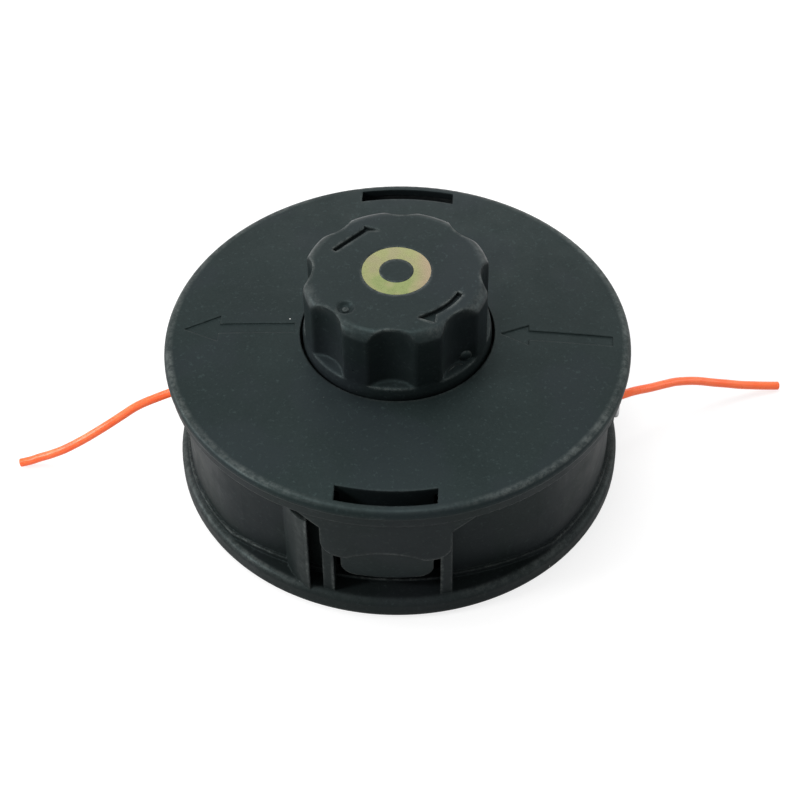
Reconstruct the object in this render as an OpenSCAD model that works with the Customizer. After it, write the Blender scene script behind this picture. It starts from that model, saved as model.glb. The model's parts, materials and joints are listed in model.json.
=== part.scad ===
// Bump-feed trimmer head, lying on its gearbox side with the tap knob up.
// The origin is on the spin axis, at the centre of the face that the head rests on.
// The two latches lie along Y and the two line eyelets along X.

/* [Overall] */
// Diameter of the cover, the widest piece
cover_d = 125; // [120:0.5:130]

/* [Base flange] */
// How far the base flange stays inside the cover's edge
flange_in = 1.5; // [0.5:0.25:3]
// Height of the flange's outer band
flange_h = 7; // [6:0.5:8]
// Rounding of the flange's lower outer edge
flange_round = 2.5; // [1:0.25:3.5]
// Rounding of the flange's upper outer edge
flange_top_round = 2; // [0.5:0.25:3]
// Height of the floor inside the drum
floor_z = 4; // [3.5:0.25:5]
// Depth of the recess between the ribs under the base
recess_depth = 1.5; // [0.5:0.25:2]
// Number of ribs under the base
rib_count = 12; // [6:1:18]
// Thickness of each rib
rib_t = 2; // [1.5:0.25:3]

/* [Drum] */
// How far the drum wall stays inside the cover's edge at the line eyelets
drum_in = 4.3; // [4:0.1:5]
// How much nearer to the axis the wall is beside each latch
scoop_in = 5.2; // [4.4:0.1:6]
// Radius of the hollowed sides that give the fingers room at the latches
scoop_r = 75; // [70:1:90]
// Rounding where a hollowed side meets the round wall
scoop_round = 25; // [10:1:30]
// Thickness of the drum wall
wall_t = 2.5; // [2:0.25:3]
// Height of the step round the foot of the drum wall
plinth_h = 1.6; // [1:0.2:3]
// How far that step stands out
plinth_out = 0.8; // [0.5:0.1:1.2]
// Height of the housing, up to the cover
housing_h = 42.1; // [41.5:0.1:44]
// How far the lip under the cover stays inside the cover's edge
lip_in = 0.5; // [0:0.1:1]
// Height of the lip's turned-down edge
lip_h = 3.6; // [3:0.2:5]
// Thickness of the lip
lip_t = 2.2; // [1.5:0.1:2.6]

/* [Latches] */
// Width of each latch arm and hook
latch_w = 24; // [20:0.5:26]
// Side clearance of a latch in its window
latch_gap = 1.8; // [0.5:0.1:2.5]
// Thickness of the latch arms
arm_t = 2.3; // [1.8:0.1:2.6]
// How far the hook's outer face stays behind the pad's
hook_in = 1.9; // [1.5:0.1:2.5]
// How far the hook's outer face leans in from its catching edge to its lower edge
hook_lean = 2; // [0.5:0.1:2.6]
// Height of the hook's lower edge
hook_low_z = 13.2; // [12:0.2:16]
// Rounding of the hook's lower corners
hook_corner = 4; // [1:0.5:6]
// Height of the hook's catching edge
hook_top_z = 28.5; // [27:0.25:29]
// Height of the ledge in the housing that the hook catches under
ledge_h = 4.1; // [3:0.1:6]
// Play between hook and ledge
latch_play = 0.4; // [0.3:0.05:0.8]
// How far the pads over the hooks stay inside the cover's edge
pad_in = 1; // [0.7:0.1:1.3]
// Lowest height of the pads
pad_low_z = 24.4; // [22:0.2:26]
// Height of the arch in each pad's lower edge
pad_arch = 3.1; // [2:0.1:3.8]
// Width of that arch
pad_arch_w = 20; // [18:0.5:20]
// Thickness of the pillars beside each window
pillar_t = 3; // [2:0.25:4]
// How far the pillars' outer face stays behind the pad's
pillar_in = 2.3; // [1.5:0.1:3]
// Radius of the guard fin beside each latch
fin_r = 15; // [14:0.25:16]
// Thickness of the guard fins
fin_t = 2; // [1.5:0.1:2.5]
// Height of the guard fins' upper edge
fin_top_z = 33.6; // [30:0.2:38]

/* [Cover] */
// Thickness of the cover
cover_t = 2.4; // [2:0.1:3]
// Height of the cover's edge
cover_edge_t = 1.95; // [1.9:0.05:2.4]
// Height of the cover's gentle dome over its edge
crown_h = 2.75; // [1.5:0.05:4]
// Rounding of the cover's upper edge
cover_round = 1.8; // [1:0.1:1.8]
// Radial clearance of the knob in the cover
knob_gap = 0.8; // [0.4:0.1:1.2]
// Length of the slot over each hook
slot_len = 26; // [25:0.2:27]
// Radial width of each slot
slot_w = 4.5; // [4:0.1:4.6]
// Depth of the arrows
arrow_depth = 0.35; // [0.2:0.05:0.8]
// Width of an arrow's shaft
arrow_shaft_w = 3.5; // [2:0.1:5]
// Width of the head of the arrow that points to the rim
arrow_head_w = 9.6; // [6:0.2:12]
// Width of the head of the arrow that points to the knob
small_head_w = 7.6; // [6:0.2:10]

/* [Tap knob] */
// Height of the knob above the cover
knob_rise = 21.7; // [18:0.1:24]
// Diameter of the knob's skirt
knob_d = 50.4; // [48:0.2:52]
// How much the knob narrows above its skirt
knob_taper = 0.9; // [0:0.1:2]
// Rounding of the knob's upper edge
knob_round = 3; // [2:0.1:3.6]
// Number of finger flutes
flute_count = 8; // [6:1:10]
// Radius of each flute
flute_r = 9.4; // [7:0.2:12]
// Depth of each flute
flute_depth = 2.9; // [1.5:0.1:3.5]
// Height of the round skirt above the cover
skirt_h = 3; // [2:0.1:5]
// Rounding of the ridges between the flutes
ridge_round = 1.5; // [1:0.1:1.7]
// Wall of the knob
knob_t = 2.5; // [2:0.1:3]
// Outer diameter of the wear ring
ring_d = 18; // [14:0.2:20]
// Hole of the wear ring
ring_hole_d = 9; // [6:0.2:11]
// Thickness of the wear ring
ring_t = 1.5; // [1:0.1:2]
// Radius of the arrows on the knob
knob_arrow_r = 18.4; // [14:0.2:19]
// Width of the arrows' groove on the knob
knob_arrow_w = 1.4; // [1:0.1:2]
// Depth of the arrows on the knob
knob_arrow_depth = 1.3; // [0.4:0.1:1.6]
// Number of claws that hold the knob in the spool
claw_count = 4; // [3:1:5]

/* [Spool] */
// Clearance between the spool's flanges and the drum
spool_gap = 2.5; // [1:0.25:6]
// Diameter of the spool's core
core_d = 46; // [44:0.5:48]
// Thickness of the spool's flanges and walls
spool_t = 2; // [1.6:0.1:2.2]
// Clear width of each line chamber
chamber_w = 10; // [9.8:0.1:10.4]
// Travel of the knob when it is bumped
bump_travel = 5.5; // [4:0.25:6]
// Height of the ratchet teeth
tooth_h = 2.4; // [1.8:0.1:2.6]
// Number of ratchet teeth in each ring
tooth_count = 12; // [6:1:12]
// Axial clearance of the ratchet teeth
tooth_gap = 0.4; // [0.3:0.05:0.6]

/* [Arbor and spring] */
// Width across flats of the threaded insert
insert_af = 15; // [14:0.5:16]
// Radius of the insert's tapped hole
thread_r = 4.4; // [3:0.1:5.2]
// Length of the insert
insert_len = 13; // [10:0.5:13]
// Diameter of the post that the spool turns on
post_d = 21; // [20:0.5:21.5]
// Running clearance of the spool on the post
post_gap = 0.06; // [0.02:0.01:0.1]
// Wire of the spring
wire_d = 1.8; // [1.2:0.1:2]
// Mean diameter of the spring
spring_d = 29; // [28.6:0.1:29.4]
// Turns of the spring
spring_turns = 4.5; // [3:0.5:4.5]
// Thickness of the washer on the spring
seat_t = 1; // [0.8:0.1:1.2]
// Clearance between that washer and the spool
seat_gap = 0.3; // [0.2:0.05:0.5]

/* [Line] */
// Diameter of the cutting line
line_d = 2.4; // [2:0.1:2.7]
// Height of the eyelets and of the tunnel through the spool
eyelet_z = 23; // [22.5:0.1:23.5]
// Radius of an eyelet's bore
eyelet_bore_r = 2; // [1.8:0.1:2.4]
// Radius of an eyelet's sleeve
eyelet_r = 4; // [3.5:0.1:4.5]
// Layers of line on the spool
line_layers = 4; // [2:1:8]

/* [Hidden] */
$fn = 96;

plastic = [0.16, 0.18, 0.18];
eps = 0.01;
far = 80;
cover_r = cover_d / 2;
flange_r = cover_r - flange_in;
lip_r = cover_r - lip_in;
drum_r = cover_r - drum_in;
drum_half_y = drum_r - scoop_in;
pad_r = cover_r - pad_in;
hook_r = pad_r - hook_in;
arm_in_r = drum_half_y - 0.1;
hole_r = knob_d / 2 + knob_gap;
edge_z = housing_h + cover_edge_t;
dome_r = (cover_r * cover_r + crown_h * crown_h) / (2 * crown_h);
dome_low_z = edge_z + crown_h - dome_r;
top_z = dome_low_z + sqrt(dome_r * dome_r - hole_r * hole_r);
knob_top_z = top_z + knob_rise;
window_half = latch_w / 2 + latch_gap;
window_low_z = flange_h + 0.6;
arm_out_r = arm_in_r + arm_t;
catch_in_r = arm_out_r + 0.3;
catch_z = hook_top_z + latch_play;
skin_in_r = hook_r + 0.3;
pad_half = window_half + pillar_t;
cavity_r = drum_r - wall_t;
spool_r = drum_half_y - wall_t - spool_gap;
core_r = core_d / 2;
core_in_r = core_r - spool_t;
mid_low_z = eyelet_z - spool_t / 2;
lower_flange_z = mid_low_z - chamber_w - spool_t;
upper_flange_z = mid_low_z + spool_t + chamber_w;
spool_top_z = upper_flange_z + spool_t;
web_half = 2;
web_low_z = eyelet_z - web_half;
web_top_z = eyelet_z + web_half;
sleeve_in_r = post_d / 2 + post_gap;
sleeve_out_r = sleeve_in_r + 2.3;
post_top_z = web_low_z - bump_travel - 0.5;
seat_top_z = web_low_z - seat_gap;
bottom_ring_z = floor_z + tooth_h + tooth_gap + bump_travel + 0.2;
lower_tooth_in_r = spring_d / 2 + wire_d / 2 + 1.6;
lower_tooth_out_r = core_in_r - 0.2;
upper_tooth_in_r = hole_r + 2;
upper_tooth_out_r = upper_tooth_in_r + 5;
knob_top_r = (knob_d - knob_taper) / 2;
flute_centre_r = knob_top_r - flute_depth + flute_r;
flute_floor_z = top_z + skirt_h;
claw_out_r = core_in_r - 2;
claw_in_r = claw_out_r - 2;
claw_nose = 1.3;
claw_half_deg = 10;
boss_x = drum_r + 1;
tunnel_r = 1.9;

// Waste outside a rounded corner; the corner is at the origin with the material below and to the left.
module corner_waste(r) {
  translate([-r, -r]) difference() {
    square(r + eps);
    circle(r);
  }
}

// Outline of the drum, moved in by the given amount: a circle hollowed at both latches, with rounded corners.
module drum_outline(inset) {
  shift = scoop_r - drum_half_y;
  to_axis = drum_r - scoop_round;
  to_scoop = scoop_r - scoop_round;
  centre_y = (to_scoop * to_scoop - to_axis * to_axis - shift * shift) / (2 * shift);
  centre = [sqrt(to_axis * to_axis - centre_y * centre_y), centre_y];
  reach = scoop_round + 1;
  difference() {
    intersection() {
      circle(r = drum_r - inset);
      translate([0, shift]) circle(r = scoop_r - inset);
      translate([0, -shift]) circle(r = scoop_r - inset);
    }
    for (x = [0, 1], y = [0, 1]) mirror([x, 0]) mirror([0, y]) translate(centre) difference() {
      polygon([[0, 0], reach * centre / to_axis, reach * (centre + [0, shift]) / to_scoop]);
      circle(r = scoop_round - inset);
    }
  }
}

// Ring between two radii, from one height to another.
module band(r_in, r_out, z_low, z_high) {
  translate([0, 0, z_low]) difference() {
    cylinder(r = r_out, h = z_high - z_low);
    translate([0, 0, -1]) cylinder(r = r_in, h = z_high - z_low + 2);
  }
}

// The part of a ring that lies at the -Y latch, within a half width of the Y axis.
module latch_band(r_in, r_out, z_low, z_high, half) {
  intersection() {
    band(r_in, r_out, z_low, z_high);
    translate([-half, -far, z_low]) cube([2 * half, far, z_high - z_low]);
  }
}

// Repeats its children at both latches.
module both_latches() {
  for (turn = [0, 180]) rotate(turn) children();
}

// One ring of ratchet teeth that stand up from height zero, each with one upright and one sloped face.
module ratchet(r_in, r_out, base_w, tip_w, phase) {
  intersection() {
    band(r_in, r_out, -1, tooth_h);
    for (i = [0 : tooth_count - 1]) rotate(phase + i * 360 / tooth_count)
      translate([r_in - 1, 0, 0]) rotate([90, 0, 90]) linear_extrude(r_out - r_in + 2)
        polygon([[-base_w / 2, -1], [base_w / 2, -1], [base_w / 2, 0],
                 [tip_w - base_w / 2, tooth_h], [-base_w / 2, tooth_h]]);
  }
}

module flange_solid() {
  rotate_extrude() difference() {
    square([flange_r, flange_h]);
    translate([flange_r, 0]) mirror([0, 1]) corner_waste(flange_round);
    translate([flange_r, flange_h]) corner_waste(flange_top_round);
  }
}

module lip_solid() {
  rotate_extrude() difference() {
    translate([0, housing_h - lip_h]) square([lip_r, lip_h]);
    translate([0, housing_h - lip_h - 1]) square([lip_r - 1.8, lip_h - lip_t + 1]);
    translate([lip_r, housing_h - lip_h]) mirror([0, 1]) corner_waste(0.6);
  }
}

// Front view of a pad: rounded lower corners, an arch between two lobes and sloping shoulders.
module pad_outline() {
  lip_low_z = housing_h - lip_h;
  corner = 4.5;
  arch_r = (pad_arch_w * pad_arch_w / 4 + pad_arch * pad_arch) / (2 * pad_arch);
  arch_z = pad_low_z + pad_arch - arch_r;
  round_r = 3;
  round_z = pad_low_z + round_r - arch_z;
  round_x = sqrt((arch_r + round_r) * (arch_r + round_r) - round_z * round_z);
  run = pad_half / 2.8;
  shoulder_x = pad_half + run;
  shoulder_z = lip_low_z - run / 1.5;
  difference() {
    union() {
      translate([-pad_half, pad_low_z]) square([2 * pad_half, housing_h - pad_low_z]);
      polygon([[-shoulder_x, lip_low_z + 0.5], [-shoulder_x, lip_low_z], [-pad_half, shoulder_z],
               [pad_half, shoulder_z], [shoulder_x, lip_low_z], [shoulder_x, lip_low_z + 0.5]]);
    }
    translate([0, arch_z]) circle(arch_r);
    for (side = [0, 1]) mirror([side, 0]) {
      translate([pad_half, pad_low_z]) mirror([0, 1]) corner_waste(corner);
      translate([0, arch_z]) difference() {
        polygon([[0, round_z - round_r], [0, 0], [round_x, round_z], [round_x, round_z - round_r]]);
        translate([round_x, round_z]) circle(round_r);
      }
    }
  }
}

module pad() {
  intersection() {
    band(catch_in_r, pad_r, pad_low_z - 1, housing_h);
    rotate([90, 0, 0]) linear_extrude(far) pad_outline();
  }
}

// Pillars that stand beside each window, from the flange to the lip.
module pillars() {
  root_y = drum_half_y - 5;
  for (side = [0, 1]) mirror([side, 0, 0]) intersection() {
    translate([window_half, -far, flange_h - 1]) cube([pillar_t, far - root_y, housing_h - flange_h]);
    cylinder(r = pad_r - pillar_in, h = housing_h);
  }
}

// Curved fin that shields the latch on the side that leads when the head spins.
module guard_fin() {
  centre_x = 4 - pad_half;
  translate([centre_x, fin_r + fin_t - flange_r, flange_h - 1]) intersection() {
    difference() {
      cylinder(r = fin_r, h = fin_top_z - flange_h + 1);
      translate([0, 0, -1]) cylinder(r = fin_r - fin_t, h = fin_top_z);
    }
    translate([-fin_r - 1, -fin_r - 1, 0]) cube([fin_r / 2 + 1, fin_r + 1, far]);
  }
}

// The hollow inside the drum, above its floor.
module drum_space() {
  translate([0, 0, floor_z]) linear_extrude(far) drum_outline(wall_t);
}

module drum_solid() {
  linear_extrude(housing_h) drum_outline(0);
  linear_extrude(flange_h + plinth_h) drum_outline(-plinth_out);
}

module eyelet_bosses() {
  for (turn = [0, 180]) rotate(turn) translate([cavity_r - 1, 0, eyelet_z]) rotate([0, 90, 0])
    cylinder(r = eyelet_r + 3, h = boss_x - cavity_r + 1);
}

module base_recess() {
  difference() {
    band(post_d / 2 + 4, flange_r - flange_round - 3.5, -1, recess_depth);
    for (i = [0 : rib_count - 1]) rotate(i * 360 / rib_count)
      translate([0, -rib_t / 2, -2]) cube([far, rib_t, recess_depth + 3]);
  }
}

// Space that the latch arm and the hook need in the housing.
module latch_cut() {
  clear_r = drum_half_y - latch_w / 2;
  latch_band(clear_r, catch_in_r, window_low_z, housing_h + 1, window_half);
  latch_band(clear_r, skin_in_r, window_low_z, catch_z, window_half);
  latch_band(catch_in_r - 1, skin_in_r, catch_z + ledge_h, housing_h + 1, window_half);
}

module housing() {
  color(plastic) difference() {
    union() {
      difference() {
        union() {
          flange_solid();
          drum_solid();
          lip_solid();
        }
        drum_space();
      }
      both_latches() {
        difference() {
          union() {
            pad();
            pillars();
          }
          drum_space();
        }
        guard_fin();
      }
      difference() {
        eyelet_bosses();
        drum_space();
      }
      cylinder(r = post_d / 2, h = post_top_z);
      translate([0, 0, floor_z]) ratchet(lower_tooth_in_r, lower_tooth_out_r, 3.4, 2.2, 0);
    }
    both_latches() latch_cut();
    base_recess();
    for (turn = [0, 180]) rotate(turn) translate([cavity_r - 3, 0, eyelet_z]) rotate([0, 90, 0])
      cylinder(r = eyelet_r, h = boss_x - cavity_r + 5);
    translate([0, 0, -1]) cylinder(r = insert_af / 2 / cos(30), h = insert_len + 1.5, $fn = 6);
    cylinder(r = thread_r + 1, h = far);
  }
}

// Straight arrow that points along -X from one place to another, sunk into the domed cover.
module straight_arrow(tip_x, end_x, head_w) {
  neck_x = tip_x + head_w;
  half_w = arrow_shaft_w / 2;
  difference() {
    translate([0, 0, housing_h]) linear_extrude(crown_h + 5)
      polygon([[tip_x, 0], [neck_x, head_w / 2], [neck_x, half_w], [end_x, half_w],
               [end_x, -half_w], [neck_x, -half_w], [neck_x, -head_w / 2]]);
    rotate_extrude() dome(arrow_depth);
  }
}

// Half section of the domed plate, its upper face moved down by the given amount.
module dome(inset) {
  intersection() {
    translate([0, dome_low_z]) circle(dome_r - inset, $fn = 1440);
    translate([0, housing_h]) square([cover_r, crown_h + 5]);
  }
}

module cover_plate() {
  round_r = cover_r - cover_round;
  lean = asin(round_r / (dome_r - cover_round));
  round_z = dome_low_z + (dome_r - cover_round) * cos(lean);
  reach = cover_round + 1;
  rotate_extrude() difference() {
    dome(0);
    dome(cover_t);
    translate([round_r, round_z]) difference() {
      polygon([[0, 0], [reach * sin(lean), reach * cos(lean)], [reach, reach * cos(lean)], [reach, 0]]);
      circle(cover_round);
    }
  }
}

// Front view of a latch: the arm with its hook block, whose lower corners are rounded.
module latch_outline() {
  difference() {
    translate([-latch_w / 2, hook_low_z]) square([latch_w, edge_z - 1 - hook_low_z]);
    for (side = [0, 1]) mirror([side, 0])
      translate([latch_w / 2, hook_low_z]) mirror([0, 1]) corner_waste(hook_corner);
  }
}

// Half section of the hook block: its outer face leans in towards a rounded lower edge,
// which leads it into the window.
module hook_section() {
  edge_r = 1;
  low_r = hook_r - hook_lean;
  lean = atan(hook_lean / (hook_top_z - hook_low_z));
  run = edge_r * tan(45 - lean / 2);
  side = [sin(lean), cos(lean)];
  difference() {
    polygon([[arm_in_r, hook_low_z], [low_r, hook_low_z], [hook_r, hook_top_z], [arm_in_r, hook_top_z]]);
    translate([low_r, hook_low_z]) difference() {
      polygon([[-run, -1], [-run, edge_r], run * side, 2 * run * side + [1, 0], [1, -1]]);
      translate([-run, edge_r]) circle(edge_r);
    }
  }
}

module latch_arm() {
  intersection() {
    union() {
      band(arm_in_r, arm_out_r, hook_low_z, edge_z);
      rotate_extrude() hook_section();
    }
    rotate([90, 0, 0]) linear_extrude(far) latch_outline();
  }
}

module cover() {
  ring_z = spool_top_z + tooth_h + tooth_gap;
  guide_h = 3;
  small_tip_x = hole_r + 1.5;
  color(plastic) difference() {
    union() {
      cover_plate();
      band(hole_r, upper_tooth_out_r + 1, ring_z, top_z - 1);
      translate([0, 0, ring_z]) mirror([0, 0, 1]) ratchet(upper_tooth_in_r, upper_tooth_out_r, 6, 4, 0);
      difference() {
        translate([0, 0, housing_h - guide_h]) linear_extrude(guide_h + 1) difference() {
          drum_outline(wall_t + 0.25);
          drum_outline(wall_t + 2);
        }
        for (side = [-1, 1]) translate([-window_half - 1.5, side < 0 ? -far : 0, 0])
          cube([2 * window_half + 3, far, far]);
      }
      both_latches() latch_arm();
    }
    translate([0, 0, ring_z - 1]) cylinder(r = hole_r, h = far);
    both_latches() latch_band(arm_out_r, arm_out_r + slot_w, housing_h - 1, top_z + 1, slot_len / 2);
    straight_arrow(-cover_r + 5, -small_tip_x, arrow_head_w);
    straight_arrow(small_tip_x, cover_r - 5, small_head_w);
  }
}

module arbor_insert() {
  color("silver") difference() {
    translate([0, 0, 0.5]) cylinder(r = insert_af / 2 / cos(30), h = insert_len, $fn = 6);
    cylinder(r = thread_r, h = far);
  }
}

module eyelet() {
  mouth = 1.2;
  flange_t = 1.4;
  inner_x = cavity_r - 0.8;
  outer_x = boss_x + flange_t;
  rotate([0, 90, 0]) rotate_extrude() difference() {
    union() {
      translate([eyelet_bore_r, inner_x]) square([eyelet_r - eyelet_bore_r, outer_x - inner_x]);
      translate([eyelet_bore_r, boss_x]) square([eyelet_r + 1.6 - eyelet_bore_r, flange_t]);
    }
    translate([eyelet_bore_r, outer_x]) mirror([1, 0]) corner_waste(mouth);
    translate([eyelet_bore_r, inner_x]) mirror([1, 0]) mirror([0, 1]) corner_waste(mouth);
    translate([eyelet_r + 1.6, outer_x]) corner_waste(0.7);
  }
}

module eyelet_right() {
  color("silver") translate([0, 0, eyelet_z]) eyelet();
}

module eyelet_left() {
  color("silver") translate([0, 0, eyelet_z]) rotate(180) eyelet();
}

// One ring of points of a tube, square to the given direction.
function tube_ring(centre, dir, r, sides) =
  let (side = cross(dir, [0, 0, 1]) / norm(cross(dir, [0, 0, 1])), up = cross(side, dir) / norm(dir))
  [for (k = [0 : sides - 1]) centre + r * (cos(360 * k / sides) * side + sin(360 * k / sides) * up)];

// A closed tube along a route of points.
module tube(route, r, sides) {
  last = len(route) - 1;
  points = [for (i = [0 : last]) each
    tube_ring(route[i], route[min(i + 1, last)] - route[max(i - 1, 0)], r, sides)];
  walls = [for (i = [0 : last - 1], k = [0 : sides - 1])
    [i * sides + k, i * sides + (k + 1) % sides, (i + 1) * sides + (k + 1) % sides, (i + 1) * sides + k]];
  caps = [[for (k = [sides - 1 : -1 : 0]) k], [for (k = [0 : sides - 1]) last * sides + k]];
  polyhedron(points, concat(walls, caps), convexity = 6);
}

// Height of the spring's wire after a share of its turns, with its end turns closed.
function coil_z(t) =
  let (low = floor_z + wire_d / 2, high = seat_top_z - seat_t - wire_d / 2, closed = 0.75,
       u = max(0, min(1, (t * spring_turns - closed) / (spring_turns - 2 * closed))))
  low + wire_d * 0.2 + (high - low - wire_d * 0.4) * u * u * (3 - 2 * u) * 0.98 + t * wire_d * 0.1;

module spring() {
  steps = 24;
  count = floor(steps * spring_turns);
  route = [for (i = [0 : count])
    [spring_d / 2 * cos(i * 360 / steps), spring_d / 2 * sin(i * 360 / steps), coil_z(i / count)]];
  color("silver") tube(route, wire_d / 2, 8);
}

module spring_seat() {
  color("silver") band(sleeve_out_r + 0.3, spring_d / 2 + wire_d / 2 + 0.6, seat_top_z - seat_t, seat_top_z);
}

module spool() {
  claw_gap = 0.4;
  color(plastic) difference() {
    union() {
      band(core_in_r, core_r, lower_flange_z, spool_top_z);
      band(core_in_r, spool_r, lower_flange_z, lower_flange_z + spool_t);
      band(core_in_r, spool_r, mid_low_z, mid_low_z + spool_t);
      band(core_in_r, spool_r, upper_flange_z, spool_top_z);
      translate([0, 0, web_low_z]) cylinder(r = core_r - eps, h = 2 * web_half);
      band(sleeve_in_r, sleeve_out_r, lower_flange_z, web_low_z + eps);
      band(claw_in_r - 2, core_in_r + eps, upper_flange_z, spool_top_z);
      band(lower_tooth_in_r - 0.4, core_in_r + eps, bottom_ring_z, bottom_ring_z + spool_t);
      translate([0, 0, bottom_ring_z]) mirror([0, 0, 1])
        ratchet(lower_tooth_in_r, lower_tooth_out_r, 3.4, 2.2, 180 / tooth_count);
      translate([0, 0, spool_top_z]) ratchet(upper_tooth_in_r, upper_tooth_out_r, 6, 4, 180 / tooth_count);
    }
    for (i = [0 : claw_count - 1]) rotate(45 + i * 360 / claw_count) rotate(-claw_half_deg - 2)
      rotate_extrude(angle = 2 * claw_half_deg + 4) translate([claw_in_r - claw_gap, upper_flange_z - 1])
        square([claw_out_r - claw_in_r + claw_nose + 2 * claw_gap, spool_t + 2]);
    translate([-far, 0, eyelet_z]) rotate([0, 90, 0]) cylinder(r = tunnel_r, h = 2 * far);
    for (side = [0, 1]) mirror([side, 0, 0])
      translate([core_r, -tunnel_r, mid_low_z - 1]) cube([far, 2 * tunnel_r, spool_t + 2]);
  }
}

// Revolved outer form of the knob.
module knob_form() {
  rotate_extrude() difference() {
    polygon([[0, spool_top_z], [knob_d / 2, spool_top_z], [knob_d / 2, top_z + 1],
             [knob_top_r, flute_floor_z + 0.5], [knob_top_r, knob_top_z], [0, knob_top_z]]);
    translate([knob_top_r, knob_top_z]) corner_waste(knob_round);
  }
}

// Waste outside the rounded ridge on one side of a flute that lies along +X.
module ridge_waste() {
  ridge_r = knob_top_r - ridge_round;
  across = flute_r + ridge_round;
  turn = acos((ridge_r * ridge_r + flute_centre_r * flute_centre_r - across * across)
    / (2 * ridge_r * flute_centre_r));
  outward = [cos(turn), sin(turn)];
  centre = ridge_r * outward;
  to_flute = ([flute_centre_r, 0] - centre) / across;
  reach = 2.2 * ridge_round;
  translate([centre[0], centre[1], flute_floor_z - 2]) linear_extrude(far) difference() {
    polygon([[0, 0], reach * to_flute, reach * (to_flute + outward), reach * outward]);
    circle(ridge_round);
  }
}

// All flutes, kept above the skirt by a cone that rises towards the axis.
module flutes() {
  in_r = ring_d / 2 + 1;
  out_r = knob_d / 2 + 5;
  slope = 0.2;
  out_z = flute_floor_z - 1;
  intersection() {
    for (i = [0 : flute_count - 1]) rotate(i * 360 / flute_count) {
      translate([flute_centre_r, 0, flute_floor_z - 2]) cylinder(r = flute_r, h = far);
      for (side = [0, 1]) mirror([0, side, 0]) ridge_waste();
    }
    rotate_extrude()
      polygon([[in_r, out_z + slope * (out_r - in_r)], [out_r, out_z], [out_r, far + 5], [in_r, far + 5]]);
  }
}

// Half-headed arrow sunk into the knob's face, bent round the axis and running clockwise from a start angle.
module arc_arrow(start) {
  sweep = 32;
  head_deg = 14;
  barb_out = 3;
  neck_y = 0.2;
  arc_w = knob_arrow_w + 0.2;
  half_w = arc_w / 2;
  tip = (knob_arrow_r - 0.3) * [cos(head_deg), -sin(head_deg)];
  translate([0, 0, knob_top_z - knob_arrow_depth]) rotate(start - sweep) {
    rotate_extrude(angle = sweep) translate([knob_arrow_r - half_w, 0]) square([arc_w, knob_arrow_depth + 1]);
    linear_extrude(knob_arrow_depth + 1)
      polygon([[knob_arrow_r - half_w, neck_y], tip, [knob_arrow_r + barb_out, -1.6],
               [knob_arrow_r + half_w, neck_y]]);
  }
}

// Straight half-headed arrow sunk into the knob's face across the bent one.
module bar_arrow() {
  tail = [-0.91, 0.39] * knob_arrow_r;
  neck = [-0.48, 0.85] * knob_arrow_r;
  tip = [-0.28, 0.84] * knob_arrow_r;
  along = (neck - tail) / norm(neck - tail);
  across = [-along[1], along[0]];
  half_w = across * knob_arrow_w / 2;
  barb = neck + across * 1.5 + along * 0.6;
  translate([0, 0, knob_top_z - knob_arrow_depth]) linear_extrude(knob_arrow_depth + 1)
    polygon([tail - half_w, neck - half_w, tip, barb, neck + half_w, tail + half_w]);
}

module claws() {
  intersection() {
    rotate_extrude() {
      translate([claw_in_r, upper_flange_z - 2.4]) square([claw_out_r - claw_in_r, spool_t + 3]);
      translate([claw_out_r, 0]) polygon([[-0.1, upper_flange_z - 2.4], [0.2, upper_flange_z - 2.4],
        [claw_nose, upper_flange_z - 1], [claw_nose, upper_flange_z - 0.3], [-0.1, upper_flange_z - 0.3]]);
    }
    for (i = [0 : claw_count - 1]) rotate(45 + i * 360 / claw_count) rotate(-claw_half_deg)
      rotate_extrude(angle = 2 * claw_half_deg) square([far / 2, far]);
  }
}

module tap_knob() {
  ceiling_z = knob_top_z - ring_t - 2;
  inner_r = knob_top_r - flute_depth - knob_t;
  skirt_in_r = knob_d / 2 - knob_t;
  gate_turn = -131;
  gate_r = knob_arrow_r + 0.3;
  gate_ball_r = 2.8;
  gate_depth = 1.3;
  nub_r = 0.8;
  nub_low = 0.7;
  color(plastic) difference() {
    union() {
      difference() {
        knob_form();
        flutes();
        translate([0, 0, spool_top_z - 1]) cylinder(r = skirt_in_r, h = flute_floor_z - spool_top_z - 1);
        translate([0, 0, spool_top_z - 1]) cylinder(r = inner_r, h = ceiling_z - spool_top_z + 1);
      }
      band(claw_in_r, claw_out_r, spool_top_z, ceiling_z + eps);
      claws();
    }
    band(ring_hole_d / 2, ring_d / 2, knob_top_z - ring_t, knob_top_z + 1);
    arc_arrow(-24);
    bar_arrow();
    rotate(gate_turn) translate([gate_r, 0, knob_top_z]) difference() {
      translate([0, 0, gate_ball_r - gate_depth]) sphere(r = gate_ball_r);
      translate([0, 0, -gate_depth - 1]) cylinder(r = nub_r, h = gate_depth + 1 - nub_low);
    }
  }
}

module wear_ring() {
  color("khaki") band(ring_hole_d / 2, ring_d / 2, knob_top_z - ring_t, knob_top_z);
}

// Line wound side by side in a chamber, with its turns showing as ridges.
module winding(low_z) {
  turns = floor(chamber_w / line_d);
  start_z = low_z + (chamber_w - turns * line_d) / 2;
  outer_r = core_r + (line_layers - 0.5) * line_d;
  color("tomato") rotate_extrude() {
    translate([core_r, start_z]) square([outer_r - core_r, turns * line_d]);
    for (i = [0 : turns - 1]) translate([outer_r, start_z + (i + 0.5) * line_d]) circle(r = line_d / 2);
  }
}

module line_winding_upper() {
  winding(mid_low_z + spool_t);
}

module line_winding_lower() {
  winding(lower_flange_z + spool_t);
}

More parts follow.
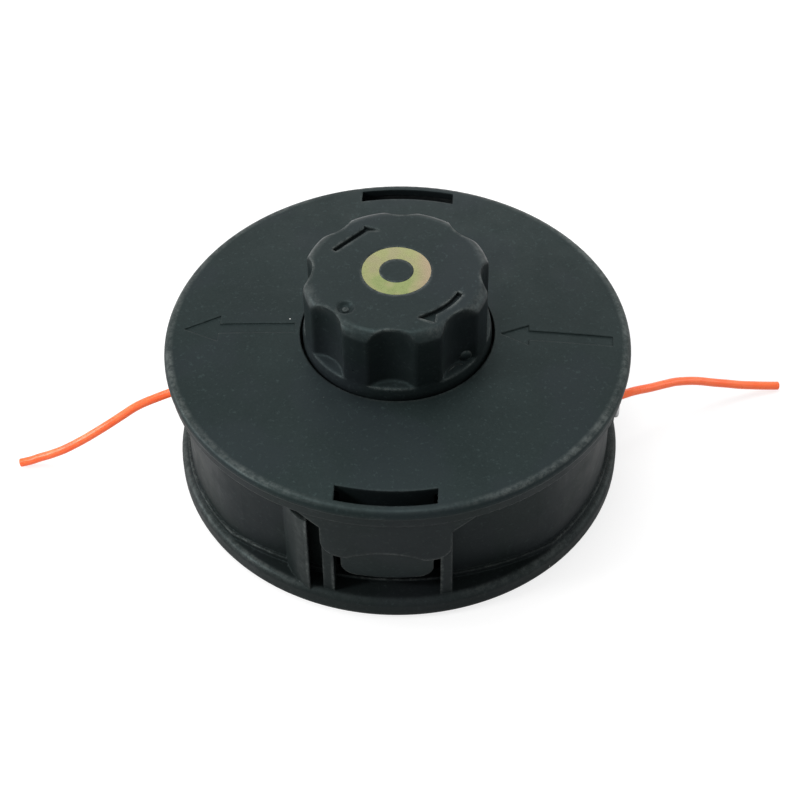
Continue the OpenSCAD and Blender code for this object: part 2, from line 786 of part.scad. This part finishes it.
// Routes of the two line ends, from inside the eyelets to the surface that the head lies on.
tail_right = [[52.5, 0.2, 22.5], [55, 0.3, 22.4], [57.5, 0.5, 22.3], [60.5, 1.4, 22], [64.8, 4.1, 21.2],
  [69.9, 7.8, 19], [74, 10.9, 17.3], [77.8, 13.7, 15.6], [83.6, 17.5, 12.2], [89.4, 20.5, 8.6],
  [93.2, 22.1, 6.7], [97.2, 23.5, 4.9], [101, 24.9, 3.4], [104.9, 26.1, 2.2], [108.8, 27.1, 1.3]];
tail_left = [[-52.5, -0.2, 22.5], [-55, -0.3, 22.4], [-57.5, -0.5, 22.3], [-60.5, -1.2, 22],
  [-66.8, -3.4, 20.8], [-72.3, -5.2, 19], [-76.4, -7, 16.9], [-80.5, -8.6, 14.6], [-84.3, -9.6, 12.2],
  [-88.1, -10.4, 9.8], [-93.1, -11.1, 6.8], [-97, -11.3, 4.8], [-100.5, -11.4, 3.3],
  [-103.3, -11.6, 2.1], [-106.1, -11.8, 1.3]];

module line_tail_right() {
  color("tomato") tube(tail_right, line_d / 2, 8);
}

module line_tail_left() {
  color("tomato") tube(tail_left, line_d / 2, 8);
}

housing();
cover();
arbor_insert();
eyelet_right();
eyelet_left();
spring();
spring_seat();
spool();
tap_knob();
wear_ring();
line_winding_upper();
line_winding_lower();
line_tail_right();
line_tail_left();
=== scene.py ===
import json
from math import cos, radians, sin, tau

import bmesh
import bpy
from mathutils import Matrix, Vector


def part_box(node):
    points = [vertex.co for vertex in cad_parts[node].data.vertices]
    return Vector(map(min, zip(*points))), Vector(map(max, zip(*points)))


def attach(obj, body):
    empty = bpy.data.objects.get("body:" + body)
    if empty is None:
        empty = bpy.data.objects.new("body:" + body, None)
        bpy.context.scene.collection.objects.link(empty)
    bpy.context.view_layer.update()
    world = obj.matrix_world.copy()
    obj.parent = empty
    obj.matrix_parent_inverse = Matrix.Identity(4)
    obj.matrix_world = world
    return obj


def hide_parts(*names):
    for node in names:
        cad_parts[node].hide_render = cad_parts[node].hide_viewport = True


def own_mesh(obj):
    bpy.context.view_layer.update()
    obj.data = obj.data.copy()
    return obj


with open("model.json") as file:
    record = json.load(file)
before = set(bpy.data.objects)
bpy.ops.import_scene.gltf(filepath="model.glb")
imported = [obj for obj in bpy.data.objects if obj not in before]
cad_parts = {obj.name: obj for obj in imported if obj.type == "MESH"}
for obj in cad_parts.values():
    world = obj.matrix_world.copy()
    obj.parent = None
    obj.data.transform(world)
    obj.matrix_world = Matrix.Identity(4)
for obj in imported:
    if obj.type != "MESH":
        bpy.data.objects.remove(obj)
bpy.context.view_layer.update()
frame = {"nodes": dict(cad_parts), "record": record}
scene = bpy.context.scene
nodes = frame["nodes"]

# Camera: fitted to the disc, the knob's ring, the slots and the line ends.
ELEVATION, ROLL, TURN = radians(46.70), radians(-0.84), radians(3.52)
DISTANCE, AIM, FOCAL_PX, FRAME_PX, SENSOR_MM = 0.54573, Vector((0.000437, 0.0, 0.019177)), 1970.0, 800.0, 36
back = Vector((0, -cos(ELEVATION), sin(ELEVATION)))
right = Vector((1, 0, 0))
up = Vector((0, sin(ELEVATION), cos(ELEVATION)))
cam_x = right * cos(ROLL) + up * sin(ROLL)
cam_y = up * cos(ROLL) - right * sin(ROLL)
axes = Matrix((cam_x, cam_y, back)).transposed().to_4x4()
cam_data = bpy.data.cameras.new("camera")
cam_data.sensor_width = SENSOR_MM
cam_data.sensor_fit = "HORIZONTAL"
cam_data.lens = FOCAL_PX * SENSOR_MM / FRAME_PX
cam_data.clip_start = 0.01
cam_data.clip_end = 20
camera = bpy.data.objects.new("camera", cam_data)
scene.collection.objects.link(camera)
camera.matrix_world = Matrix.Rotation(TURN, 4, "Z") @ Matrix.Translation(AIM + back * DISTANCE) @ axes
scene.camera = camera

# Routes of the two line ends, in millimetres, as in the part's source, and the line's diameter in metres.
TAIL_RIGHT = [(52.5, 0.2, 22.5), (55, 0.3, 22.4), (57.5, 0.5, 22.3), (60.5, 1.4, 22), (64.8, 4.1, 21.2),
    (69.9, 7.8, 19), (74, 10.9, 17.3), (77.8, 13.7, 15.6), (83.6, 17.5, 12.2), (89.4, 20.5, 8.6),
    (93.2, 22.1, 6.7), (97.2, 23.5, 4.9), (101, 24.9, 3.4), (104.9, 26.1, 2.2), (108.8, 27.1, 1.3)]
TAIL_LEFT = [(-52.5, -0.2, 22.5), (-55, -0.3, 22.4), (-57.5, -0.5, 22.3), (-60.5, -1.2, 22),
    (-66.8, -3.4, 20.8), (-72.3, -5.2, 19), (-76.4, -7, 16.9), (-80.5, -8.6, 14.6), (-84.3, -9.6, 12.2),
    (-88.1, -10.4, 9.8), (-93.1, -11.1, 6.8), (-97, -11.3, 4.8), (-100.5, -11.4, 3.3),
    (-103.3, -11.6, 2.1), (-106.1, -11.8, 1.3)]
LINE_D = 0.0024


def line_end(name, route_mm, node):
    """One free line end: a smooth round curve through the route's points, with flat ends."""
    route = [Vector(p) / 1000 for p in route_mm]
    data = bpy.data.curves.new(name, "CURVE")
    data.dimensions = "3D"
    data.bevel_depth = 1.0
    data.bevel_resolution = 6
    data.use_fill_caps = True
    data.resolution_u = 6
    spline = data.splines.new("BEZIER")
    spline.bezier_points.add(len(route) - 1)
    for i, point in enumerate(route):
        knot = spline.bezier_points[i]
        before, after = route[max(i - 1, 0)], route[min(i + 1, len(route) - 1)]
        tangent = (after - before).normalized()
        knot.handle_left_type = knot.handle_right_type = "FREE"
        knot.co = point
        knot.radius = LINE_D / 2
        knot.handle_left = point - tangent * ((point - before).length / 3)
        knot.handle_right = point + tangent * ((after - point).length / 3)
    piece = bpy.data.objects.new(name, data)
    scene.collection.objects.link(piece)
    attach(piece, "head")
    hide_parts(node)
    return piece


line_right = line_end("line_end_right", TAIL_RIGHT, "line_tail_right")
line_left = line_end("line_end_left", TAIL_LEFT, "line_tail_left")


class Shader:
    """A material under construction: makes nodes and joins them."""

    def __init__(self, name):
        self.material = bpy.data.materials.new(name)
        self.material.use_nodes = True
        self.tree = self.material.node_tree
        self.tree.nodes.clear()
        self.out = self.tree.nodes.new("ShaderNodeOutputMaterial")
        self.surface = self.tree.nodes.new("ShaderNodeBsdfPrincipled")
        self.tree.links.new(self.surface.outputs[0], self.out.inputs[0])
        self.coords = self.tree.nodes.new("ShaderNodeTexCoord").outputs["Object"]

    def node(self, kind, **values):
        """A new node, with its properties set and its inputs joined or set."""
        made = self.tree.nodes.new("ShaderNode" + kind)
        for key, value in values.items():
            if hasattr(made, key):
                setattr(made, key, value)
            else:
                self.feed(made.inputs[key], value)
        return made

    def feed(self, socket, value):
        """Joins a socket to another, or sets it to a constant."""
        if isinstance(value, bpy.types.NodeSocket):
            self.tree.links.new(value, socket)
        else:
            socket.default_value = value

    def noise(self, size_mm, detail, rough, coords=None):
        """Noise between 0 and 1 with patches of the given size."""
        made = self.node("TexNoise", Vector=coords or self.coords, Scale=1000.0 / size_mm, Detail=detail,
                         Roughness=rough)
        return made.outputs["Fac"]

    def ramp(self, value, low, high, out_low=0.0, out_high=1.0):
        """A smooth step from out_low at low to out_high at high."""
        made = self.node("MapRange", Value=value)
        made.interpolation_type = "SMOOTHSTEP"
        for key, number in (("From Min", low), ("From Max", high), ("To Min", out_low), ("To Max", out_high)):
            made.inputs[key].default_value = number
        return made.outputs[0]

    def math(self, operation, a, b=0.0):
        """The result of one operation on one or two values."""
        made = self.node("Math", operation=operation)
        self.feed(made.inputs[0], a)
        self.feed(made.inputs[1], b)
        return made.outputs[0]

    def mix(self, factor, a, b):
        """The colour a where factor is 0 and b where it is 1."""
        made = self.tree.nodes.new("ShaderNodeMix")
        made.data_type = "RGBA"
        self.feed(made.inputs[0], factor)
        self.feed(made.inputs[6], a if isinstance(a, bpy.types.NodeSocket) else (*a, 1))
        self.feed(made.inputs[7], b if isinstance(b, bpy.types.NodeSocket) else (*b, 1))
        return made.outputs[2]

    def specks(self, cell_mm, radius_share, keep, seed):
        """Small round specks with soft edges: one in each kept cell, where keep is the share of cells kept."""
        shifted = self.node("Mapping", Vector=self.coords)
        shifted.inputs["Location"].default_value = (seed, seed * 0.7, seed * 0.3)
        cell = self.node("TexVoronoi", Vector=shifted.outputs[0], Scale=1000.0 / cell_mm)
        spot = self.ramp(cell.outputs["Distance"], radius_share, radius_share * 0.6)
        chosen = self.node("SeparateColor", Color=cell.outputs["Color"])
        kept = self.math("GREATER_THAN", chosen.outputs[0], 1 - keep)
        return self.math("MULTIPLY", spot, kept)

    def convex_edges(self, reach_mm):
        """Value 1 at the body's outer edges: there a short ray inwards soon leaves the body again."""
        inner = self.node("AmbientOcclusion", samples=6)
        inner.inside = True
        inner.only_local = True
        inner.inputs["Distance"].default_value = reach_mm / 1000
        return self.ramp(inner.outputs["AO"], 0.88, 0.55)

    def rim_band(self, rise_from, rise_to, fall_from, fall_to):
        """Value 1 in a band of distances from the axis, towards +X and -X, and less towards +Y and -Y."""
        flat = self.node("VectorMath", operation="MULTIPLY")
        self.feed(flat.inputs[0], self.coords)
        flat.inputs[1].default_value = (1, 1, 0)
        radius = self.node("VectorMath", operation="LENGTH")
        self.feed(radius.inputs[0], flat.outputs["Vector"])
        distance = radius.outputs["Value"]
        band = self.math("MULTIPLY", self.ramp(distance, rise_from, rise_to), self.ramp(distance, fall_to, fall_from))
        bearing = self.node("VectorMath", operation="NORMALIZE")
        self.feed(bearing.inputs[0], flat.outputs["Vector"])
        sideways = self.math("ABSOLUTE", self.node("SeparateXYZ", Vector=bearing.outputs["Vector"]).outputs["X"])
        return self.math("MULTIPLY", band, self.ramp(sideways, 0.20, 0.65, 0.15, 1.0))

    def bump(self, height, distance_mm, strength, under=None):
        """A normal raised by height times distance_mm, on top of the normal under it."""
        made = self.node("Bump", Height=height)
        made.inputs["Strength"].default_value = strength
        made.inputs["Distance"].default_value = distance_mm / 1000
        if under is not None:
            self.feed(made.inputs["Normal"], under)
        return made.outputs[0]

    def set(self, **values):
        """Feeds the surface's own sockets and returns the finished material."""
        names = {"color": "Base Color", "roughness": "Roughness", "metallic": "Metallic", "normal": "Normal",
                 "specular": "Specular IOR Level", "tint": "Specular Tint", "subsurface": "Subsurface Weight",
                 "sub_radius": "Subsurface Radius", "sub_scale": "Subsurface Scale", "glow": "Emission Color",
                 "glow_strength": "Emission Strength"}
        for key, value in values.items():
            if isinstance(value, tuple) and key in ("color", "tint", "glow"):
                value = (*value, 1)
            self.feed(self.surface.inputs[names[key]], value)
        return self.material


EDGE_WEAR_MM = 1.2
PALE_WEAR_AND_HIGHLIGHT_COLOR = (0.13, 0.145, 0.14)
DUST_COLOR, FLAKE_COLOR = (0.26, 0.28, 0.275), (0.75, 0.76, 0.74)
COOL_TINT = (1.06, 0.90, 1.08)
BLOOM_GAIN = 2.6

# Bands of painted highlight, in metres from the axis: where each starts, is full, is still full and has ended.
COVER_HIGHLIGHT_BAND = (0.0597, 0.0610, 0.0617, 0.0622)
KNOB_HIGHLIGHT_BAND = (0.0212, 0.0235, 0.0248, 0.0262)
FLANGE_HIGHLIGHT_BAND = (0.0588, 0.0598, 0.0604, 0.0612)

# Heights in metres: the cover's underside and the foot of the knob's rounded upper edge.
COVER_UNDERSIDE_Z, KNOB_EDGE_Z = 0.031, 0.0658


def moulded_plastic(name, dark, light, rough, shine, tint, wear, top_wear=1.0, band=None, highlight_strength=0.0, highlight_from_z=0.0,
                    dust=1.0, edge_mm=0.6):
    """Satin black plastic: mottled tone, fine grain, scuffs, dust, slightly rounded edges made pale by wear.

    Above the cover's underside the edges' wear is multiplied by top_wear. Above the height highlight_from_z a painted
    highlight, pale and with lower roughness, reaches up to highlight_strength inside the band.
    """
    s = Shader(name)
    cloud = s.ramp(s.noise(16, 3, 0.6), 0.35, 0.7)
    grain = s.ramp(s.noise(0.7, 2, 0.6), 0.3, 0.75)
    tone = s.math("ADD", s.math("MULTIPLY", cloud, 0.5), s.math("MULTIPLY", grain, 0.5))
    color = s.mix(tone, dark, light)
    cool = tuple(t * c for t, c in zip(COOL_TINT, light))
    color = s.mix(s.ramp(s.noise(26, 2, 0.5), 0.46, 0.60, 0.0, 0.5), color, cool)
    bloom = s.ramp(s.noise(1.3, 3, 0.75), 0.56, 0.72, 0.0, 0.45 * dust)
    color = s.mix(bloom, color, tuple(BLOOM_GAIN * c for c in light))
    fine = s.specks(2.8, 0.06, 0.07 * dust, 1.3)
    flakes = s.specks(8.0, 0.030, 0.22 * dust, 6.3)
    color = s.mix(s.math("MULTIPLY", fine, 0.24), color, DUST_COLOR)
    color = s.mix(flakes, color, FLAKE_COLOR)
    patchy = s.math("MULTIPLY", s.ramp(s.noise(1.4, 4, 0.75), 0.40, 0.62, 0.15 * wear, 0.65 * wear),
                    s.ramp(s.noise(11, 2, 0.6), 0.40, 0.58, 0.3, 1.0))
    height = s.node("SeparateXYZ", Vector=s.coords).outputs["Z"]
    by_height = s.ramp(height, COVER_UNDERSIDE_Z - 0.001, COVER_UNDERSIDE_Z + 0.001, 1.0, top_wear)
    wear_and_highlight = s.math("MULTIPLY", s.convex_edges(EDGE_WEAR_MM), s.math("MULTIPLY", patchy, by_height))
    # Painted highlight: pale colour and lower roughness in the band, stronger towards +X and -X, joined to the edge
    # wear.
    if band:
        spread = s.math("MULTIPLY", s.ramp(s.noise(2.0, 4, 0.8), 0.38, 0.64, 0.25, 1.0),
                        s.ramp(s.noise(14, 2, 0.6), 0.38, 0.60, 0.35, highlight_strength))
        spread = s.math("MULTIPLY", spread, s.ramp(height, highlight_from_z - 0.002, highlight_from_z + 0.002))
        painted_highlight = s.math("MULTIPLY", s.rim_band(*band), spread)
        wear_and_highlight = s.math("MAXIMUM", wear_and_highlight, painted_highlight)
    # Pale edge wear, together with the painted highlight of the band.
    color = s.mix(wear_and_highlight, color, PALE_WEAR_AND_HIGHLIGHT_COLOR)
    scuff = s.node("Mapping", Vector=s.coords)
    scuff.inputs["Scale"].default_value = (1.0, 0.12, 1.0)
    scuff.inputs["Rotation"].default_value = (0, 0, 0.7)
    scratches = s.ramp(s.noise(1.1, 1, 0.5, scuff.outputs[0]), 0.68, 0.74)
    roughness = s.math("ADD", s.ramp(s.noise(9, 4, 0.65), 0.3, 0.7, rough - 0.05, rough + 0.06),
                       s.math("ADD", s.math("MULTIPLY", scratches, -0.07), s.math("MULTIPLY", wear_and_highlight, -0.16)))
    edge = s.node("Bevel", samples=6)
    edge.inputs["Radius"].default_value = edge_mm / 1000
    relief = s.math("ADD", s.math("MULTIPLY", s.noise(0.35, 1, 0.5), 0.8),
                    s.math("MULTIPLY", s.noise(1.8, 2, 0.5), 0.5))
    return s.set(color=color, roughness=roughness, specular=shine, tint=tint,
                 normal=s.bump(relief, 0.018, 0.9, edge.outputs[0]))


# Housing, cover and knob carry a painted highlight in their bands; the spool has none.
housing_mat = moulded_plastic("charcoal_plastic_housing", (0.0095, 0.0130, 0.0130), (0.0165, 0.0215, 0.0215),
                              0.44, 0.15, (0.76, 1.0, 1.0), 1.5, band=FLANGE_HIGHLIGHT_BAND, highlight_strength=0.55)
cover_mat = moulded_plastic("charcoal_plastic_cover", (0.0085, 0.0130, 0.0130), (0.0140, 0.0205, 0.0205),
                            0.44, 0.165, (0.72, 1.0, 1.0), 1.0, 0.25, COVER_HIGHLIGHT_BAND, 0.65)
knob_mat = moulded_plastic("charcoal_plastic_knob", (0.0095, 0.0140, 0.0145), (0.0155, 0.0215, 0.0220),
                           0.38, 0.16, (0.72, 1.0, 1.0), 1.6, band=KNOB_HIGHLIGHT_BAND, highlight_strength=0.5, highlight_from_z=KNOB_EDGE_Z,
                           edge_mm=1.3)
spool_mat = moulded_plastic("charcoal_plastic_spool", (0.0120, 0.0125, 0.0130), (0.0190, 0.0200, 0.0205),
                            0.48, 0.15, (0.85, 1.0, 1.0), 0.4, dust=0.3)


def steel(name, color, rough):
    """Turned steel with fine lathe lines round the spin axis and faint stains."""
    s = Shader(name)
    lines = s.node("TexWave", Vector=s.coords, Scale=900.0, Distortion=0.6)
    lines.wave_type = "RINGS"
    lines.rings_direction = "Z"
    stain = s.ramp(s.noise(3.5, 3, 0.6), 0.35, 0.7)
    color = s.mix(s.math("MULTIPLY", stain, 0.5), color, tuple(0.7 * c for c in color))
    roughness = s.ramp(s.noise(2.0, 3, 0.6), 0.3, 0.7, rough - 0.06, rough + 0.08)
    return s.set(color=color, metallic=1.0, roughness=roughness, normal=s.bump(lines.outputs["Fac"], 0.006, 0.5))


steel_mat = steel("turned_steel", (0.52, 0.52, 0.53), 0.30)
eyelet_mat = steel("turned_aluminium", (0.62, 0.62, 0.63), 0.26)


def yellow_zinc():
    """Yellow-passivated zinc plating, with patches that drift from yellow to pink and green."""
    s = Shader("yellow_zinc_plating")
    drift = s.noise(6.0, 1, 0.5)
    shift = s.noise(3.0, 2, 0.5)
    base = s.mix(s.ramp(drift, 0.40, 0.52), (0.235, 0.275, 0.115), (0.275, 0.285, 0.135))
    base = s.mix(s.ramp(drift, 0.56, 0.70), base, (0.275, 0.262, 0.145))
    across = s.node("SeparateXYZ", Vector=s.coords).outputs["X"]
    base = s.mix(s.ramp(across, 0.003, 0.009, 0.0, 0.7), base, (0.350, 0.245, 0.190))
    base = s.mix(s.ramp(shift, 0.55, 0.8, 0.0, 0.5), base, (0.285, 0.270, 0.165))
    pits = s.specks(0.9, 0.16, 0.12, 2.7)
    base = s.mix(s.math("MULTIPLY", pits, 0.7), base, (0.10, 0.09, 0.05))
    roughness = s.ramp(s.noise(1.5, 3, 0.6), 0.3, 0.7, 0.24, 0.32)
    return s.set(color=base, metallic=1.0, roughness=roughness, normal=s.bump(s.noise(0.8, 2, 0.5), 0.008, 0.3))


ring_mat = yellow_zinc()


def nylon(name, painted_glow):
    """Orange monofilament: slightly translucent, duller in patches, with a painted glow that brightens it beyond its
    lighting.
    """
    s = Shader(name)
    tone = s.ramp(s.noise(5.0, 2, 0.5), 0.3, 0.7)
    color = s.mix(tone, (1.0, 0.13, 0.035), (1.0, 0.19, 0.065))
    roughness = s.ramp(s.noise(1.2, 3, 0.6), 0.3, 0.7, 0.26, 0.40)
    return s.set(color=color, roughness=roughness, specular=0.5, subsurface=0.6, sub_radius=(0.0030, 0.0010, 0.0005),
                 sub_scale=1.0, glow=(1.0, 0.15, 0.03), glow_strength=painted_glow,
                 normal=s.bump(s.noise(0.9, 2, 0.5), 0.02, 0.5))


# The free line ends carry a painted glow; the wound line has none.
nylon_mat = nylon("orange_nylon", 0.35)
wound_nylon_mat = nylon("orange_nylon_wound", 0.0)


# Two small moulding marks in the knob's flute at the front right, in millimetres, and the axis of that flute.
FLUTE_TURN, FLUTE_R = radians(-45), 31.25
BLISTER_AT, BLISTER_R, BLISTER_RISE = Vector((18.35, -13.15, 51.0)), 2.0, 0.95
BURR = [(14.1, -18.3, 49.72), (14.5, -17.6, 49.78), (15.0, -16.9, 49.82), (15.7, -16.1, 49.85),
        (16.4, -15.6, 49.85), (17.2, -15.35, 49.80), (17.9, -15.25, 49.74)]
BURR_R = 0.3


def mesh_piece(name, mesh_kit, body):
    """A smooth piece from mesh code, on its body."""
    data = bpy.data.meshes.new(name)
    mesh_kit.to_mesh(data)
    mesh_kit.free()
    for face in data.polygons:
        face.use_smooth = True
    piece = bpy.data.objects.new(name, data)
    scene.collection.objects.link(piece)
    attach(piece, body)
    return piece


def tube(points, radii, sides):
    """A closed round tube through the points, with a radius at each."""
    kit = bmesh.new()
    last = len(points) - 1
    rings = []
    for i, here in enumerate(points):
        along = (points[min(i + 1, last)] - points[max(i - 1, 0)]).normalized()
        across = along.cross(Vector((0, 0, 1))).normalized()
        high = across.cross(along)
        rings.append([kit.verts.new(here + radii[i] * (cos(tau * k / sides) * across + sin(tau * k / sides) * high))
                      for k in range(sides)])
    for a, b in zip(rings, rings[1:]):
        for k in range(sides):
            kit.faces.new((a[k], a[(k + 1) % sides], b[(k + 1) % sides], b[k]))
    kit.faces.new(rings[0][::-1])
    kit.faces.new(rings[-1])
    bmesh.ops.recalc_face_normals(kit, faces=kit.faces)
    return kit


def blister():
    """A low round blister on the flute's wall, flattened along the wall's outward direction."""
    kit = bmesh.new()
    bmesh.ops.create_uvsphere(kit, u_segments=32, v_segments=16, radius=1.0)
    outward = Vector((cos(FLUTE_TURN), sin(FLUTE_TURN), 0)) * FLUTE_R - BLISTER_AT
    outward.z = 0
    turn = outward.to_track_quat("Z", "Y").to_matrix().to_4x4()
    flat = Matrix.Diagonal((BLISTER_R, BLISTER_R, BLISTER_RISE, 1.0))
    place = Matrix.Scale(0.001, 4) @ Matrix.Translation(BLISTER_AT) @ turn @ flat
    bmesh.ops.transform(kit, verts=kit.verts, matrix=place)
    return mesh_piece("flute_blister", kit, "spool_and_knob")


def burr():
    """A thin raised scar on the flute's floor, tapered at both ends."""
    points = [Vector(p) / 1000 for p in BURR]
    radii = [BURR_R / 1000 * (0.25 + 0.75 * sin(radians(180 * i / (len(BURR) - 1)))) for i in range(len(BURR))]
    return mesh_piece("flute_burr", tube(points, radii, 8), "spool_and_knob")


# The spring's wire, mean diameter, turns, pitch where its turns lie on each other, and play at each end, in metres.
WIRE_D, COIL_D, COIL_TURNS, CLOSED_PITCH, COIL_PLAY = 0.0018, 0.029, 4.5, 0.00185, 0.00005
STEPS_PER_TURN, WIRE_SIDES = 48, 16


def coil_spring():
    """The spring in round wire with closed end turns, built at rest between the housing's floor and the spring seat.
    """
    bump = next(j for j in frame["record"]["behaviour"]["joints"] if j["name"] == "bump")
    floor_z, travel = bump["deforming_nodes"][0]["fixed_end_z_m"], bump["range_m"][1]
    seat_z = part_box("spring_seat")[0][2]
    low, high = floor_z + COIL_PLAY + WIRE_D / 2, seat_z - COIL_PLAY - WIRE_D / 2
    open_pitch = (high - low - 2 * CLOSED_PITCH) / (COIL_TURNS - 2)
    points = []
    for i in range(int(STEPS_PER_TURN * COIL_TURNS) + 1):
        turn = i / STEPS_PER_TURN
        z = low + CLOSED_PITCH * min(turn, 1) + open_pitch * min(max(turn - 1, 0), COIL_TURNS - 2)
        z += CLOSED_PITCH * max(turn - (COIL_TURNS - 1), 0)
        points.append(Vector((COIL_D / 2 * cos(tau * turn), COIL_D / 2 * sin(tau * turn), z)))
    piece = mesh_piece("coil_spring", tube(points, [WIRE_D / 2] * len(points), WIRE_SIDES), "head")
    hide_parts("spring")
    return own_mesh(piece)


def paint(obj, material):
    """Gives a piece or CAD node its one material."""
    obj.data.materials.clear()
    obj.data.materials.append(material)


for name, material in (("housing", housing_mat), ("cover", cover_mat), ("tap_knob", knob_mat), ("spool", spool_mat),
                       ("arbor_insert", steel_mat), ("spring", steel_mat), ("spring_seat", steel_mat),
                       ("eyelet_right", eyelet_mat), ("eyelet_left", eyelet_mat), ("wear_ring", ring_mat),
                       ("line_winding_upper", wound_nylon_mat), ("line_winding_lower", wound_nylon_mat)):
    paint(nodes[name], material)
for piece in (line_right, line_left):
    paint(piece, nylon_mat)
for piece in (blister(), burr()):
    paint(piece, knob_mat)
paint(coil_spring(), steel_mat)

# Floor: a plain pale sheet that shows white to the camera and keeps the object's faint shadow. What the object
# mirrors of it is darker right beside the object, where its own shadow falls: SHADE at SHADE_FROM metres.
FLOOR_COLOR, FLOOR_GLOW, FLOOR_HALF, FLOOR_Z = 0.35, 0.80, 4, -0.0002
SHADE_FROM, SHADE_TO, SHADE = 0.062, 0.13, 0.35
WORLD_LIGHT, WHITE = 0.27, 1.0


def joined(tree, kind, *inputs, **properties):
    """A new node whose first inputs are joined to sockets or set to constants."""
    made = tree.nodes.new("ShaderNode" + kind)
    for key, value in properties.items():
        setattr(made, key, value)
    for socket, value in zip(made.inputs, inputs):
        if isinstance(value, bpy.types.NodeSocket):
            tree.links.new(value, socket)
        else:
            socket.default_value = value
    return made


def is_ray(tree, *kinds):
    """Value 1 for the kinds of ray that see the white background."""
    path = tree.nodes.new("ShaderNodeLightPath")
    value = path.outputs[kinds[0]]
    for kind in kinds[1:]:
        value = joined(tree, "Math", value, path.outputs[kind], operation="MAXIMUM").outputs[0]
    return value


def empty_tree(owner):
    """The node tree of a material or world, with nothing in it."""
    owner.use_nodes = True
    owner.node_tree.nodes.clear()
    return owner.node_tree


corners = [(x * FLOOR_HALF, y * FLOOR_HALF, FLOOR_Z) for x, y in ((-1, -1), (1, -1), (1, 1), (-1, 1))]
floor_mesh = bpy.data.meshes.new("floor")
floor_mesh.from_pydata(corners, [], [(0, 1, 2, 3)])
floor = bpy.data.objects.new("floor", floor_mesh)
scene.collection.objects.link(floor)

floor_mat = bpy.data.materials.new("pale_floor")
tree = empty_tree(floor_mat)
place = tree.nodes.new("ShaderNodeNewGeometry").outputs["Position"]
distance = joined(tree, "VectorMath", place, operation="LENGTH").outputs["Value"]
shade = joined(tree, "MapRange", distance, SHADE_FROM, SHADE_TO, SHADE, 1.0).outputs[0]
mirrored = joined(tree, "Math", is_ray(tree, "Is Glossy Ray"), shade, operation="MULTIPLY").outputs[0]
seen = joined(tree, "Math", is_ray(tree, "Is Camera Ray"), mirrored, operation="MAXIMUM").outputs[0]
share = joined(tree, "Math", seen, FLOOR_GLOW, operation="MULTIPLY").outputs[0]
diffuse = joined(tree, "BsdfDiffuse", (FLOOR_COLOR, FLOOR_COLOR, FLOOR_COLOR, 1)).outputs[0]
glow = joined(tree, "Emission", (1, 1, 1, 1), share).outputs[0]
both = joined(tree, "AddShader", diffuse, glow).outputs[0]
joined(tree, "OutputMaterial", both)
floor.data.materials.append(floor_mat)

# World: soft light on the object, white behind it and in what it mirrors.
world = bpy.data.worlds.new("world")
scene.world = world
tree = empty_tree(world)
sees_white = is_ray(tree, "Is Camera Ray", "Is Glossy Ray", "Is Transmission Ray")
soft = tree.nodes.new("ShaderNodeBackground")
soft.inputs["Strength"].default_value = WORLD_LIGHT
white = tree.nodes.new("ShaderNodeBackground")
white.inputs["Strength"].default_value = WHITE
blend = joined(tree, "MixShader", sees_white, soft.outputs[0], white.outputs[0]).outputs[0]
joined(tree, "OutputWorld", blend)


def softbox(name, place, target, size, power):
    """A rectangular lamp that faces the target."""
    data = bpy.data.lights.new(name, "AREA")
    data.shape = "RECTANGLE"
    data.size, data.size_y = size
    data.energy = power
    lamp = bpy.data.objects.new(name, data)
    scene.collection.objects.link(lamp)
    lamp.location = place
    lamp.rotation_euler = (Vector(target) - Vector(place)).to_track_quat("-Z", "Y").to_euler()


# Lamps: name, place, height on the axis that each is aimed at, width and height in metres, and watts.
for name, place, aim_z, size, watts in (("top_light", (-0.15, 0.10, 1.20), 0.03, (0.6, 0.6), 7.5),
                                        ("back_light", (0.10, 0.55, 0.40), 0.045, (0.6, 0.25), 0.75),
                                        ("left_light", (-0.9, -0.35, 0.65), 0.03, (0.22, 0.26), 5.2),
                                        ("low_left_light", (-0.85, 0.12, 0.28), 0.05, (0.25, 0.25), 2.2),
                                        ("low_right_light", (0.8, 0.25, 0.28), 0.05, (0.25, 0.25), 0.8)):
    softbox(name, place, (0, 0, aim_z), size, watts)

scene.view_settings.view_transform = "Standard"

bpy.context.view_layer.update()
